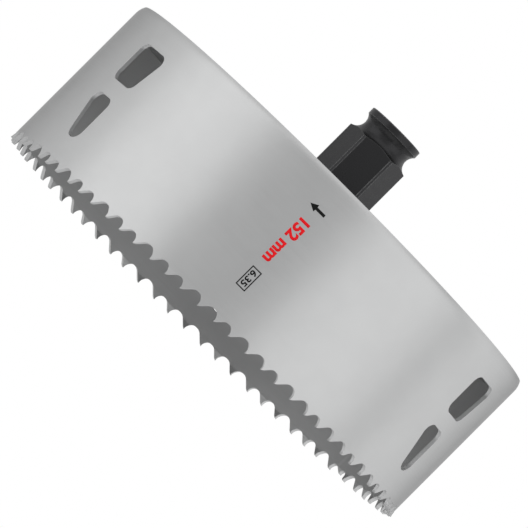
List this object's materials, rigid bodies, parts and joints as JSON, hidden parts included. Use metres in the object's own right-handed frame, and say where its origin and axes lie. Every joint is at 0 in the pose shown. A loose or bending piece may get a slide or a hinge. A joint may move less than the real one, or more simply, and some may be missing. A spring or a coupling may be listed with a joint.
{
  "type": "hole saw",
  "caption": "Large hole saw: toothed steel cup with chip slots in its wall and a hexagonal quick-change plug on its back.",
  "frame": {"origin": "on the cup's axis, in the plane of the tooth tips, on which the saw stands", "axes": "+Z along the axis from the teeth to the coupling plug; -Y towards the side that the picture shows; +X to its right"},
  "size_m": [0.1526, 0.1524, 0.0792],
  "materials": {
    "coated_band": "satin light grey coating with a fine grain, bare ground steel at the teeth",
    "coated_plate": "satin light grey coating over turned steel",
    "blackened_steel": "machined steel, blackened, satin, with faintly rubbed edges",
    "nut_steel": "plain machined steel"
  },
  "bodies": {
    "root": {"toothed_band": "coated_band", "back_plate": "coated_plate", "coupling_plug": "blackened_steel", "retaining_nut": "nut_steel"}
  },
  "joints": []
}
